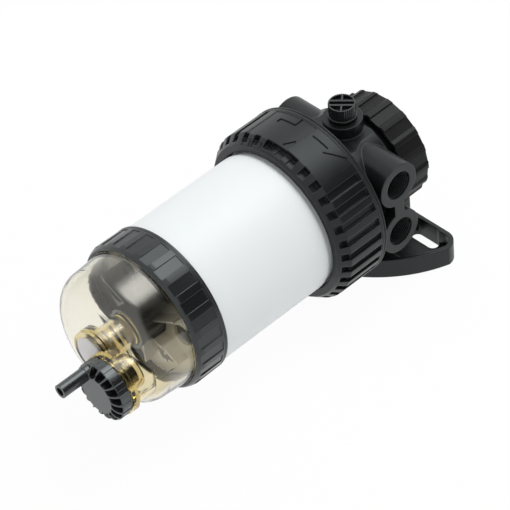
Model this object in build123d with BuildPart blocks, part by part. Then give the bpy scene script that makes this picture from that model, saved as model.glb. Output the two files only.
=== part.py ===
from build123d import *
import os
from math import cos, pi, radians, sin, tan

# Fuel water separator with a hand pump, hung on a wall by its two bracket slots.
# Row frame: +Z up along the filter, +Y into the wall, +X to the right from the front.
# The origin lies between the two slots, on the mounting face.
# Levels are counted from the lower lip of the upper collar, up along the filter axis.

# The radius of the cartridge can leads the other radii of the filter
CAN_R = 55.0

# Place of the filter below the slots
LIP_BELOW_SLOTS = 105.0

# Running and fitting clearances, all radial
COLLAR_GAP = 0.4
SHAFT_GAP = 0.05
LOOSE_GAP = 0.2
CURVED_GAP = 0.3

# Upper lock collar
UPPER_TALL = 42.4
UPPER_PROUD = 11.8
UPPER_R = CAN_R + UPPER_PROUD
UPPER_WALL = 4.0
UPPER_BORE_R = UPPER_R - UPPER_WALL
UPPER_LIP_GAP = 0.6
UPPER_LIP_R = CAN_R + UPPER_LIP_GAP
UPPER_LEDGE = 9.0
UPPER_CHAMFER = 5.8
UPPER_CHAMFER_Z = 8.0
UPPER_LIP_OUT_R = UPPER_R - UPPER_CHAMFER
UPPER_RIM_Z = 38.0
RIM_STEP = 0.7
NOTCHES = 35
FLUTE_WIDE = 6.0
FLUTE_DEEP = 2.5
FLUTE_TOP = 37.4
NOTCH_DEEP = 5.2
NOTCH_TOP = 8.5
NOTCH_BOTTOM = 2.2
RIGHT_FLUTES = 9
RIGHT_FIRST = -43.3
LEFT_FLUTES = 11
LEFT_SKIPPED = 17
PANEL_FROM = -116.6
PANEL_SPLIT = -81.6
PANEL_TO = -51.4
PANEL_DEEP = 0.5
PANEL_PROUD = 0.2
LONG_NOTCH_FROM = -92.0
LONG_NOTCH_TO = -74.0

# Bayonet lugs of both collars
LUG_COUNT = 4
LUG_SPAN = 32.0
LUG_FIRST = 45.0
LUG_TALL = 6.0
UPPER_LUG_Z = 24.0

# Head, with its axis as far out from the wall as the upper collar needs
WALL_GAP = 3.2
AXIS_OUT = UPPER_R + WALL_GAP
SKIRT_IN = 2.2
SKIRT_R = UPPER_BORE_R - SKIRT_IN
SKIRT_WALL = 4.6
SKIRT_INNER_R = SKIRT_R - SKIRT_WALL
SKIRT_BOTTOM = 16.0
SKIRT_TOP = 38.0
FLARE_IN = 1.8
FLARE_R = SKIRT_R - FLARE_IN
FLARE_Z = 41.0
FLARE_HOLLOW = 2.4
BODY_R = 44.8
BODY_Z = 68.0
BODY_TOP = 82.0
BODY_EDGE = 1.5
NECK_TOP = 102.0
CEILING = 42.0
CAVITY_R = 44.0
CAVITY_LOW = 32.0
FRONT_FLAT = 40.0
FRONT_FLAT_Z = 60.0
FRONT_FOOT_IN = 1.6
FRONT_FOOT = FLARE_R - FRONT_FOOT_IN
FRONT_FOOT_Z = 42.5
FRONT_HOLLOW = 3.7
HUB_BOSS_R = 12.5
HUB_FACE = 24.0

# Ports, along X, in front of and behind the filter axis
PORT_R = 11.0
PORT_BARREL_R = 17.2
PORT_SPREAD = 21.5
PORT_Z = 66.5
PORT_DEEP = 18.0
PORT_RIGHT = 56.0
PORT_LEFT = 52.0
PASSAGE_R = 5.0
PASSAGE_X = 26.0
CROSS_Z = 48.5
CROSS_R = 3.0
CROSS_PAST = 1.0
OUTLET_R = 8.2
WEB_TALL = 9.0

# Hand pump
PUMP_BORE_R = 24.0
PUMP_FLOOR = 55.0
PISTON_Z = 67.0
PISTON_TALL = 10.0
ROD_R = 6.0
SPINDLE_R = 4.0
INLET_VALVE_Y = -13.5
OUTLET_VALVE_Y = 18.5
VALVE_R = 4.5
VALVE_THICK = 1.2
VALVE_STEM_R = 1.5
VALVE_STEM = 4.0
VALVE_PORTS = 4
VALVE_PORT_R = 0.9
VALVE_PORT_RING = 2.9
COVER_R = 31.0
COVER_THICK = 3.0
COVER_SPIGOT = 4.0
SPRING_R = 20.0
SPRING_WIRE_R = 0.9
SPRING_TURNS = 3.5
SEAL_SQUARE = 2.4

# Pump knob
KNOB_TIP_R = 41.8
TOOTH_DEEP = 1.4
KNOB_ROOT_R = KNOB_TIP_R - TOOTH_DEEP
KNOB_WALL = 3.2
KNOB_INNER_R = KNOB_ROOT_R - KNOB_WALL
NECK_GAP = 2.2
NECK_R = KNOB_INNER_R - NECK_GAP
KNOB_BOTTOM = 89.0
KNOB_TOP = 112.0
KNOB_UNDER = 105.6
KNOB_TEETH = 18
KNOB_PHASE = -98.0
KNOB_EDGE = 0.8
TOOTH_FOOT = 0.55
TOOTH_CREST = 0.74
TOOTH_DROP = 0.96
KNOB_RIM = 8.8
KNOB_DISH_R = KNOB_TIP_R - KNOB_RIM
KNOB_DISH = 1.6
SCREW_SEAT = 109.0
SCREW_R = 6.5
SCREW_RECESS_R = 9.0
SCREW_HEAD = 1.8
SCREW_SHANK_R = 2.0
SCREW_LONG = 9.0

# Bleed screw, along Y out of the front of the head
BLEED_Z = 71.0
BLEED_BOSS_R = 14.2
BLEED_FACE = 49.5
BLEED_R = 5.0
BLEED_BOTTOM = 30.0
BLEED_CAP_R = 9.7
BLEED_CAP_TOP = 62.0
BLEED_SEAL_THICK = 1.8
BLEED_SEAL_R = 8.2
BLEED_KNURLS = 40
BLEED_KNURL_DEEP = 0.4
BLEED_TURNED = 41.0
BLEED_SLOT = 3.0
BLEED_SLOT_DEEP = 3.5
BLEED_FACE_RIM = 1.1
BLEED_BAR = 1.6
BLEED_RIB = 1.3

# Mounting bracket, moulded in one with the head
BRACKET_DEEP = 16.0
BRACKET_TOP = 7.5
BRACKET_HALF = 69.0
BRACKET_CORNER_R = 12.0
BRACKET_FLOOR = 4.0
BRACKET_RIM = 3.6
SLOT_X = 41.0
SLOT_LONG = 24.0
SLOT_WIDE = 9.0
POCKET_IN = 25.0
POCKET_LOW = -34.0
SPINE_HALF = 20.0
SPINE_GAP = 1.2
SPINE_OUT = AXIS_OUT - KNOB_TIP_R - SPINE_GAP
SPINE_BOTTOM = -62.0
BRACKET_FOOT_OUT = 10.4
BRACKET_FOOT_UP = 6.5
BRACKET_BULGE = 4.9

# Cartridge can
CAN_WALL = 2.5
CAN_NECK_IN = 1.5
CAN_NECK_R = CAN_R - CAN_NECK_IN
CAN_FLANGE_GAP = 1.2
CAN_FLANGE_R = UPPER_BORE_R - CAN_FLANGE_GAP
CAN_FLANGE_TOP = 13.0
SHOULDER = 4.0
CAN_LOW = -103.0
CAN_END = -118.3
CAN_LOW_WALL = 2.6
BASE_REBATE = 1.7
BASE_STEP = 1.2

# Filter element and the plates that hold it
PLATE_THICK = 3.0
NIPPLE_R = 11.0
NIPPLE_WALL = 3.0
NIPPLE_TOP = 21.0
PLATE_HOLES = 8
PLATE_HOLE_R = 4.0
PLATE_HOLE_RING = 34.0
CAP_R = 45.0
CAP_THICK = 2.0
MEDIA_R = 43.5
MEDIA_IN_R = 19.5
MEDIA_TOP = -4.0
MEDIA_BOTTOM = -90.0
PLEATS = 36
PAPER = 1.0
TUBE_R = 18.0
TUBE_WALL = 1.5
TUBE_SLOTS = 6
TUBE_SLOT_ROWS = 3
TUBE_SLOT_WIDE = 6.0
TUBE_SLOT_TALL = 18.0

# Black base plate of the cartridge with its water tube
BASE_THICK = 3.0
WATER_TUBE_R = 15.4
WATER_TUBE_WALL = 2.4
WATER_TUBE_LOW = -139.0
BASE_HOLES = 6
BASE_HOLE_R = 8.0
BASE_HOLE_RING = 32.0
BASE_RIB = 1.6
BASE_RIB_TALL = 9.0

# Lower lock collar
LOWER_TOP = -99.8
LOWER_BOTTOM = -126.3
LOWER_PROUD = 1.9
LOWER_R = CAN_R + LOWER_PROUD
LOWER_DRAFT = 0.3
LOWER_WALL = 2.3
LOWER_BORE_R = LOWER_R - LOWER_WALL
LOWER_LIP = 1.3
LOWER_LIP_R = LOWER_BORE_R - LOWER_LIP
LOWER_LEDGE = 4.0
LUG_ROOM = 3.0
CAN_LOW_R = LOWER_BORE_R - LUG_ROOM
POCKETS = 25
POCKET_FIRST = -110.7
POCKET_WIDE = 8.6
POCKET_DEEP = 0.9
POCKET_TOP = -103.7
POCKET_LOW_END = -123.8
LOWER_LUG_Z = -112.0
LOWER_LUG_TALL = 5.0

# Clear bowl
BOWL_FLANGE_R = LOWER_BORE_R - CURVED_GAP
BOWL_FLANGE = 3.0
BOWL_BEAD_R = LOWER_LIP_R - CURVED_GAP
BOWL_BEAD_LOW = -127.0
BOWL_SEAL = 1.0
BOWL_BEAD = 0.7
BOWL_TOP_R = BOWL_BEAD_R - BOWL_BEAD
BOWL_DRAFT = 1.4
BOWL_KNEE_R = BOWL_TOP_R - BOWL_DRAFT
BOWL_KNEE = -146.5
BOWL_CORNER_R = 19.0
BOWL_BASE_SLOPE = 14.0
BOWL_WALL = 2.6

# Closed sensor port in the middle of the bowl
SENSOR_BOSS_R = 17.0
SENSOR_BOSS_FACE = -171.0
SENSOR_BOSS_TOP = -160.0
SENSOR_FACE = -171.6
PLUG_R = 13.3
PLUG_HEAD = 3.4
PLUG_SHANK_R = 9.0
PLUG_SHANK = 14.0
POCKET_R = 12.0
POCKET_WALL = 2.6
POCKET_END = -138.0
PLUG_SEAL = 1.5

# Drain valve, beside the sensor port
DRAIN_X = 27.2
DRAIN_Y = 3.8
DRAIN_BOSS_R = 21.0
DRAIN_BOSS_IN_R = 18.4
DRAIN_BOSS_FLOOR = -173.0
DRAIN_BOSS_TOP = -157.0
DRAIN_FLANGE_R = 23.0
DRAIN_FLANGE = 5.3
DRAIN_TUBE_R = 12.5
DRAIN_TUBE_TOP = -160.5
DRAIN_FACE = -179.0
KNOB_CLEAR = 0.3
DRAIN_SPIGOT_R = 8.95
DRAIN_SPIGOT_TOP = -163.0
DRAIN_BORE_R = 3.2
DRAIN_KNOB_R = 22.0
DRAIN_SIDE_LOW = -187.5
DRAIN_KNOB_FACE = -191.4
DRAIN_FACE_R = 15.0
DRAIN_ROUND = 0.9
DRAIN_TEETH = 18
DRAIN_FIN_ROOT = 9.0
DRAIN_FIN_TIP = 16.0
DRAIN_FIN_HALF = 2.4
DRAIN_SCOOP_IN_R = 14.4
DRAIN_RING_IN_R = 20.8
DRAIN_SCOOP_DEEP = 3.0
DRAIN_FLAT_AT = 11.0
DRAIN_FLAT_DEEP = 0.4
DRAIN_FLAT_WIDE = 3.6
DRAIN_SEAL_Z = -170.0
DRAIN_SEAL_SQUARE = 1.8
WATER_WAY_Z = -186.0
WATER_WAY_R = 2.5
WATER_WAY_LOW = -187.0
NOZZLE_ROOF = -183.0
HOSE_DX = -9.6
HOSE_DY = -13.3
HOSE_R = 5.0
HOSE_STEP = 0.5
HOSE_TIP = -212.6
ROOT_PROUD = 0.2
ROOT_SUNK = 1.0

FILTER_AXIS = Axis((0, -AXIS_OUT, 0), (0, 0, 1))
SECTION = Plane(origin=(0, -AXIS_OUT, -LIP_BELOW_SLOTS), x_dir=(1, 0, 0), z_dir=(0, -1, 0))


def level(height, x=0.0, y=0.0):
    """Level plane at a height above the lip, centred at x, y from the filter axis."""
    return Plane((x, y - AXIS_OUT, height - LIP_BELOW_SLOTS))


def turned(*corners):
    """Solid turned round the filter axis from the corners (radius, height) of its section."""
    with BuildPart() as piece:
        with BuildSketch(SECTION):
            with BuildLine():
                Polyline(*corners, close=True)
            make_face()
        revolve(axis=FILTER_AXIS)
    return piece


def ring(inner, outer, low, high, edge=0.0):
    """Flat or chamfered ring round the filter axis."""
    if edge == 0.0:
        return turned((inner, low), (outer, low), (outer, high), (inner, high))
    return turned(
        (inner + edge, low), (outer - edge, low), (outer, low + edge), (outer, high - edge),
        (outer - edge, high), (inner + edge, high), (inner, high - edge), (inner, low + edge))


def lugs(inner, outer, low, tall):
    """Four bayonet lugs, kept apart from every open part."""
    with BuildPart(mode=Mode.PRIVATE) as piece:
        with BuildSketch(level(low)):
            Circle(outer)
            Circle(inner, mode=Mode.SUBTRACT)
            for number in range(LUG_COUNT):
                start = LUG_FIRST + LUG_SPAN / 2 + number * 360 / LUG_COUNT
                end = start + 360 / LUG_COUNT - LUG_SPAN
                with BuildLine():
                    Polyline((0, 0), spoke(2 * outer, start), spoke(3 * outer, (start + end) / 2),
                             spoke(2 * outer, end), close=True)
                make_face(mode=Mode.SUBTRACT)
        extrude(amount=tall)
    return piece.part


def spoke(radius, angle):
    """Point of the level plane at a radius and an angle in degrees."""
    return (radius * cos(radians(angle)), radius * sin(radians(angle)))


def sector(outer, inner, start, end):
    """Outline of part of a ring, between two radii and two angles."""
    CenterArc((0, 0), outer, start, end - start)
    CenterArc((0, 0), inner, start, end - start)
    Line(spoke(outer, start), spoke(inner, start))
    Line(spoke(outer, end), spoke(inner, end))


def save(builder, name):
    """Label one finished piece and write its file."""
    builder.part.label = name
    export_step(builder.part, "parts/" + name + ".step")


os.makedirs("parts", exist_ok=True)

# Upper lock collar: a fluted ring with a lip that carries the can's flange
with BuildPart() as upper_collar:
    with BuildSketch(SECTION):
        with BuildLine():
            Polyline(
                (UPPER_LIP_R, 0.6), (UPPER_LIP_R + 0.6, 0), (UPPER_LIP_OUT_R, 0),
                (UPPER_R, UPPER_CHAMFER_Z), (UPPER_R, UPPER_RIM_Z),
                (UPPER_R - RIM_STEP, UPPER_RIM_Z + 0.2), (UPPER_R + 0.2, UPPER_RIM_Z + 0.7),
                (UPPER_R + 0.2, UPPER_RIM_Z + 1.8), (UPPER_R - RIM_STEP, UPPER_RIM_Z + 2.2),
                (UPPER_R - RIM_STEP, UPPER_RIM_Z + 2.8), (UPPER_R + 0.2, UPPER_RIM_Z + 3.2),
                (UPPER_R + 0.2, UPPER_TALL - 0.4), (UPPER_R - 0.3, UPPER_TALL),
                (UPPER_BORE_R + 0.8, UPPER_TALL), (UPPER_BORE_R, UPPER_TALL - 0.8),
                (UPPER_BORE_R, UPPER_LEDGE), (UPPER_LIP_R, UPPER_LEDGE), close=True)
        make_face()
    revolve(axis=FILTER_AXIS)
    # Right panel stands a little proud, left panel lies a little deep
    with BuildSketch(level(UPPER_CHAMFER_Z)):
        with BuildLine():
            sector(UPPER_R + PANEL_PROUD, UPPER_R - 1, PANEL_SPLIT, PANEL_TO)
        make_face()
    extrude(amount=UPPER_RIM_Z - UPPER_CHAMFER_Z)
    with BuildSketch(level(NOTCH_TOP - 2)):
        with BuildLine():
            sector(UPPER_R + 1, UPPER_R - PANEL_DEEP, PANEL_FROM, PANEL_SPLIT)
        make_face()
    extrude(amount=FLUTE_TOP - NOTCH_TOP + 2, mode=Mode.SUBTRACT)
    # Flutes up the sides, and notches all round under the lower chamfer
    pitch = 360 / NOTCHES
    for count, first in ((RIGHT_FLUTES, RIGHT_FIRST), (LEFT_FLUTES, RIGHT_FIRST + LEFT_SKIPPED * pitch)):
        with BuildSketch(level(UPPER_CHAMFER_Z / 2)):
            with PolarLocations(UPPER_R, count, first, pitch * (count - 1), endpoint=True):
                Rectangle(2 * FLUTE_DEEP, FLUTE_WIDE)
        extrude(amount=FLUTE_TOP - UPPER_CHAMFER_Z / 2, mode=Mode.SUBTRACT)
    with BuildSketch(level(NOTCH_BOTTOM)):
        with PolarLocations(UPPER_R, NOTCHES, RIGHT_FIRST):
            Rectangle(2 * NOTCH_DEEP, FLUTE_WIDE)
    extrude(amount=NOTCH_TOP - NOTCH_BOTTOM, mode=Mode.SUBTRACT)
    with BuildSketch(level(NOTCH_BOTTOM)):
        with BuildLine():
            sector(UPPER_R + 1, UPPER_R - NOTCH_DEEP + 1, LONG_NOTCH_FROM, LONG_NOTCH_TO)
        make_face()
    extrude(amount=NOTCH_TOP - NOTCH_BOTTOM, mode=Mode.SUBTRACT)
    add(lugs(SKIRT_R + COLLAR_GAP, UPPER_BORE_R + 0.5, UPPER_LUG_Z, LUG_TALL))
save(upper_collar, "upper_collar")


def front_plane(out, turn=0.0):
    """Plane facing the front on the bleed screw's axis, at a distance out, its X axis turned."""
    across = (cos(radians(turn)), 0, sin(radians(turn)))
    return Plane((0, -AXIS_OUT - out, BLEED_Z - LIP_BELOW_SLOTS), x_dir=across, z_dir=(0, -1, 0))


def side_plane(side, out, y):
    """Plane facing right (1) or left (-1) on the axis of a port at y, at a distance out."""
    return Plane((side * out, y - AXIS_OUT, PORT_Z - LIP_BELOW_SLOTS), x_dir=(0, 1, 0), z_dir=(side, 0, 0))


def bracket_outline(inset):
    """Outline of the bracket in the wall's plane, moved inwards by an inset."""
    tip = BRACKET_HALF - inset
    top = BRACKET_TOP - inset
    corner = BRACKET_CORNER_R - inset
    low = (SPINE_HALF + BRACKET_FOOT_OUT - inset / 3, SPINE_BOTTOM + BRACKET_FOOT_UP + inset)
    foot = SPINE_BOTTOM + inset
    for side in (1, -1):
        Line((0, top), (side * (tip - corner), top))
        RadiusArc((side * (tip - corner), top), (side * tip, top - corner), side * corner)
        SagittaArc((side * tip, top - corner), (side * low[0], low[1]), side * BRACKET_BULGE)
        Line((side * low[0], low[1]), (side * SPINE_HALF, foot))
    Line((-SPINE_HALF, foot), (SPINE_HALF, foot))


# Head: the moulded body with its ports, pump cylinder, bleed boss and mounting bracket
WALL_PLANE = Plane(origin=(0, 0, 0), x_dir=(1, 0, 0), z_dir=(0, -1, 0))
with BuildPart() as head:
    with BuildSketch(SECTION):
        with BuildLine():
            Polyline((FLARE_R, FLARE_Z), (SKIRT_R, SKIRT_TOP), (SKIRT_R, SKIRT_BOTTOM),
                     (SKIRT_INNER_R, SKIRT_BOTTOM), (SKIRT_INNER_R, CAVITY_LOW), (CAVITY_R, CEILING),
                     (HUB_BOSS_R, CEILING), (HUB_BOSS_R, HUB_FACE), (0, HUB_FACE), (0, BODY_TOP),
                     (BODY_R - BODY_EDGE, BODY_TOP), (BODY_R, BODY_TOP - BODY_EDGE), (BODY_R, BODY_Z))
            SagittaArc((BODY_R, BODY_Z), (FLARE_R, FLARE_Z), -FLARE_HOLLOW)
        make_face()
    revolve(axis=FILTER_AXIS)
    add(lugs(SKIRT_R - 0.5, UPPER_BORE_R - COLLAR_GAP, UPPER_LUG_Z - LUG_TALL, LUG_TALL))
    # The front of the body is flat above and curves out to the skirt below
    with BuildSketch(Plane((-PORT_LEFT, -AXIS_OUT, -LIP_BELOW_SLOTS), x_dir=(0, -1, 0), z_dir=(-1, 0, 0))):
        with BuildLine():
            Polyline((FRONT_FLAT, FRONT_FLAT_Z), (FRONT_FLAT, BODY_TOP + 1), (SKIRT_R + 1, BODY_TOP + 1),
                     (SKIRT_R + 1, FRONT_FOOT_Z), (FRONT_FOOT, FRONT_FOOT_Z))
            SagittaArc((FRONT_FOOT, FRONT_FOOT_Z), (FRONT_FLAT, FRONT_FLAT_Z), FRONT_HOLLOW)
        make_face()
    extrude(amount=-2 * PORT_LEFT, mode=Mode.SUBTRACT)
    # Pump cylinder
    with BuildSketch(level(BODY_TOP - 1)):
        Circle(NECK_R)
    extrude(amount=NECK_TOP - BODY_TOP + 1)
    # Port barrels across the body, the right pair a little longer
    for y in (-PORT_SPREAD, PORT_SPREAD):
        with BuildSketch(side_plane(-1, PORT_LEFT, y)):
            Circle(PORT_BARREL_R)
        extrude(amount=-PORT_LEFT - PORT_RIGHT)
    # Web that ties each pair of port rings
    with BuildSketch(level(PORT_Z - WEB_TALL / 2)):
        with Locations(((PORT_RIGHT - PORT_LEFT) / 2, 0)):
            Rectangle(PORT_RIGHT + PORT_LEFT, 2 * PORT_SPREAD - 2 * PORT_R)
    extrude(amount=WEB_TALL)
    # Bleed boss on the front
    with BuildSketch(front_plane(BLEED_FACE)):
        Circle(BLEED_BOSS_R)
    extrude(amount=-(BLEED_FACE - BLEED_BOTTOM))
    # Bracket and the spine that carries the body
    with BuildSketch(WALL_PLANE):
        with BuildLine():
            bracket_outline(0)
        make_face()
    extrude(amount=BRACKET_DEEP)
    with BuildSketch(WALL_PLANE):
        with Locations((0, (BRACKET_TOP + SPINE_BOTTOM) / 2)):
            Rectangle(2 * SPINE_HALF, BRACKET_TOP - SPINE_BOTTOM)
    extrude(amount=SPINE_OUT)
    # Pump bore
    with BuildSketch(level(PUMP_FLOOR)):
        Circle(PUMP_BORE_R)
    extrude(amount=NECK_TOP - PUMP_FLOOR, mode=Mode.SUBTRACT)
    # Trays of the two wings with a slot in each floor
    with BuildSketch(WALL_PLANE.offset(BRACKET_DEEP)):
        with BuildLine():
            bracket_outline(BRACKET_RIM)
        make_face()
        Rectangle(2 * POCKET_IN, 4 * BRACKET_HALF, mode=Mode.SUBTRACT)
        with Locations((0, POCKET_LOW - 2 * BRACKET_HALF)):
            Rectangle(4 * BRACKET_HALF, 4 * BRACKET_HALF, mode=Mode.SUBTRACT)
    extrude(amount=-(BRACKET_DEEP - BRACKET_FLOOR), mode=Mode.SUBTRACT)
    with BuildSketch(WALL_PLANE):
        with Locations((-SLOT_X, 0), (SLOT_X, 0)):
            SlotOverall(SLOT_LONG, SLOT_WIDE)
    extrude(amount=BRACKET_DEEP, mode=Mode.SUBTRACT)
    # Port bores, each with its passage in, down, and across
    for side, reach in ((1, PORT_RIGHT), (-1, PORT_LEFT)):
        for y in (-PORT_SPREAD, PORT_SPREAD):
            with BuildSketch(side_plane(side, reach, y)):
                Circle(PORT_R)
            extrude(amount=-PORT_DEEP, mode=Mode.SUBTRACT)
            with BuildSketch(side_plane(side, reach, y)):
                Circle(PASSAGE_R)
            extrude(amount=PASSAGE_X - reach, mode=Mode.SUBTRACT)
            with BuildSketch(level(PORT_Z, side * PASSAGE_X, y)):
                Circle(PASSAGE_R)
            extrude(amount=-(PORT_Z - CROSS_Z + CROSS_R + CROSS_PAST), mode=Mode.SUBTRACT)
            target = INLET_VALVE_Y if y < 0 else 0.0
            across = Vector(-side * PASSAGE_X, target - y, 0)
            start = (side * PASSAGE_X, y - AXIS_OUT, CROSS_Z - LIP_BELOW_SLOTS)
            with BuildSketch(Plane(start, z_dir=across)):
                Circle(CROSS_R)
            extrude(amount=across.length, mode=Mode.SUBTRACT)
    # Outlet bore over the nipple, and the ports and stem holes of the two valves
    with BuildSketch(level(HUB_FACE)):
        Circle(OUTLET_R)
    extrude(amount=CROSS_Z + CROSS_R + CROSS_PAST - HUB_FACE, mode=Mode.SUBTRACT)
    for y, low, stem_low in ((INLET_VALVE_Y, CROSS_Z, PUMP_FLOOR - VALVE_STEM),
                             (OUTLET_VALVE_Y, CEILING, CEILING)):
        with BuildSketch(level(low, 0, y)):
            with PolarLocations(VALVE_PORT_RING, VALVE_PORTS):
                Circle(VALVE_PORT_R)
        extrude(amount=PUMP_FLOOR - low, mode=Mode.SUBTRACT)
        with BuildSketch(level(stem_low, 0, y)):
            Circle(VALVE_STEM_R)
        extrude(amount=VALVE_STEM, mode=Mode.SUBTRACT)
    # Bleed screw hole
    with BuildSketch(front_plane(BLEED_FACE)):
        Circle(BLEED_R + SHAFT_GAP)
    extrude(amount=-(BLEED_FACE - BLEED_BOTTOM + 1.0), mode=Mode.SUBTRACT)
save(head, "head")

# Hand pump cover: a flanged disc that closes the pump bore and guides the rod
pump_cover = turned(
    (ROD_R + SHAFT_GAP, NECK_TOP - COVER_SPIGOT), (PUMP_BORE_R - LOOSE_GAP, NECK_TOP - COVER_SPIGOT),
    (PUMP_BORE_R - LOOSE_GAP, NECK_TOP), (COVER_R, NECK_TOP), (COVER_R, NECK_TOP + COVER_THICK - 0.6),
    (COVER_R - 0.6, NECK_TOP + COVER_THICK), (ROD_R + SEAL_SQUARE, NECK_TOP + COVER_THICK),
    (ROD_R + SEAL_SQUARE, NECK_TOP + COVER_THICK - SEAL_SQUARE),
    (ROD_R + SHAFT_GAP, NECK_TOP + COVER_THICK - SEAL_SQUARE))
save(pump_cover, "pump_cover")

# Rod seal, in the recess at the top of the cover
rod_seal = ring(ROD_R + SHAFT_GAP, ROD_R + SEAL_SQUARE, NECK_TOP + COVER_THICK - SEAL_SQUARE,
                NECK_TOP + COVER_THICK, 0.3)
save(rod_seal, "rod_seal")

# Pump rod with the shoulder and spindle that carry the knob
ROD_FOOT = PISTON_Z + 2.0
with BuildPart() as pump_rod:
    with BuildSketch(SECTION):
        with BuildLine():
            Polyline((0, ROD_FOOT), (ROD_R, ROD_FOOT), (ROD_R, KNOB_UNDER), (SPINDLE_R, KNOB_UNDER),
                     (SPINDLE_R, SCREW_SEAT), (SCREW_SHANK_R, SCREW_SEAT),
                     (SCREW_SHANK_R, SCREW_SEAT - SCREW_LONG), (0, SCREW_SEAT - SCREW_LONG), close=True)
        make_face()
    revolve(axis=FILTER_AXIS)
save(pump_rod, "pump_rod")

# Piston with a groove for its seal and a socket for the rod
GROOVE_LOW = PISTON_Z + (PISTON_TALL - SEAL_SQUARE) / 2
PISTON_R = PUMP_BORE_R - SHAFT_GAP
pump_piston = turned(
    (0, PISTON_Z), (PISTON_R - 1, PISTON_Z), (PISTON_R, PISTON_Z + 1), (PISTON_R, GROOVE_LOW),
    (PISTON_R - SEAL_SQUARE, GROOVE_LOW), (PISTON_R - SEAL_SQUARE, GROOVE_LOW + SEAL_SQUARE),
    (PISTON_R, GROOVE_LOW + SEAL_SQUARE), (PISTON_R, PISTON_Z + PISTON_TALL - 1),
    (PISTON_R - 1, PISTON_Z + PISTON_TALL), (ROD_R + 0.02, PISTON_Z + PISTON_TALL),
    (ROD_R + 0.02, ROD_FOOT), (0, ROD_FOOT))
save(pump_piston, "pump_piston")

# Piston seal
piston_seal = ring(PISTON_R - SEAL_SQUARE, PISTON_R, GROOVE_LOW, GROOVE_LOW + SEAL_SQUARE, 0.3)
save(piston_seal, "piston_seal")

# Return spring between the pump floor and the piston
SPRING_LOW = PUMP_FLOOR + SPRING_WIRE_R
SPRING_TALL = PISTON_Z - PUMP_FLOOR - 2 * SPRING_WIRE_R
with BuildPart() as pump_spring:
    with BuildLine() as coil:
        Helix(SPRING_TALL / SPRING_TURNS, SPRING_TALL, SPRING_R,
              center=(0, -AXIS_OUT, SPRING_LOW - LIP_BELOW_SLOTS))
    with BuildSketch(Plane(coil.line @ 0, z_dir=coil.line % 0)):
        RegularPolygon(SPRING_WIRE_R, 8)
    sweep(path=coil.line, is_frenet=True)
save(pump_spring, "pump_spring")

# Rubber check valves: one on the pump floor, one under the head's ceiling
for name, y, low, stem in (("pump_inlet_valve", INLET_VALVE_Y, PUMP_FLOOR, -VALVE_STEM),
                           ("pump_outlet_valve", OUTLET_VALVE_Y, CEILING - VALVE_THICK, VALVE_STEM)):
    with BuildPart() as valve:
        with BuildSketch(level(low, 0, y)):
            Circle(VALVE_R)
        extrude(amount=VALVE_THICK)
        with BuildSketch(level(low + (VALVE_THICK if stem > 0 else 0.0), 0, y)):
            Circle(VALVE_STEM_R)
        extrude(amount=stem)
    save(valve, name)

# Pump knob: a toothed cap, each tooth a slow rise and a sharp drop
tooth = 360 / KNOB_TEETH
knob_points = []
for number in range(KNOB_TEETH):
    start = KNOB_PHASE + number * tooth
    knob_points.append(spoke(KNOB_ROOT_R, start))
    knob_points.append(spoke(KNOB_ROOT_R, start + tooth * TOOTH_FOOT))
    knob_points.append(spoke(KNOB_TIP_R, start + tooth * TOOTH_CREST))
    knob_points.append(spoke(KNOB_TIP_R, start + tooth * TOOTH_DROP))
with BuildPart() as pump_knob:
    with BuildSketch(level(KNOB_BOTTOM)):
        with BuildLine():
            Polyline(*knob_points, close=True)
        make_face()
    extrude(amount=KNOB_TOP - KNOB_BOTTOM)
    with BuildSketch(SECTION):
        with BuildLine():
            Polyline((KNOB_INNER_R, KNOB_BOTTOM), (KNOB_TIP_R - 0.6, KNOB_BOTTOM),
                     (KNOB_TIP_R, KNOB_BOTTOM + 0.6), (KNOB_TIP_R, KNOB_TOP - KNOB_EDGE),
                     (KNOB_TIP_R - KNOB_EDGE, KNOB_TOP), (KNOB_DISH_R + KNOB_DISH, KNOB_TOP),
                     (KNOB_DISH_R, KNOB_TOP - KNOB_DISH), (SCREW_RECESS_R, KNOB_TOP - KNOB_DISH),
                     (SCREW_RECESS_R, SCREW_SEAT), (SPINDLE_R + SHAFT_GAP, SCREW_SEAT),
                     (SPINDLE_R + SHAFT_GAP, KNOB_UNDER), (KNOB_INNER_R, KNOB_UNDER), close=True)
        make_face()
    revolve(axis=FILTER_AXIS, mode=Mode.INTERSECT)
save(pump_knob, "pump_knob")

# Screw that keeps the knob on the rod
with BuildPart() as knob_screw:
    with BuildSketch(level(SCREW_SEAT)):
        Circle(SCREW_R)
    extrude(amount=SCREW_HEAD)
    with BuildSketch(level(SCREW_SEAT)):
        Circle(SCREW_SHANK_R - SHAFT_GAP)
    extrude(amount=-(SCREW_LONG - 0.5))
    with BuildSketch(level(SCREW_SEAT + SCREW_HEAD)):
        RegularPolygon(2.5, 6)
    extrude(amount=-1.2, mode=Mode.SUBTRACT)
save(knob_screw, "knob_screw")


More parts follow.
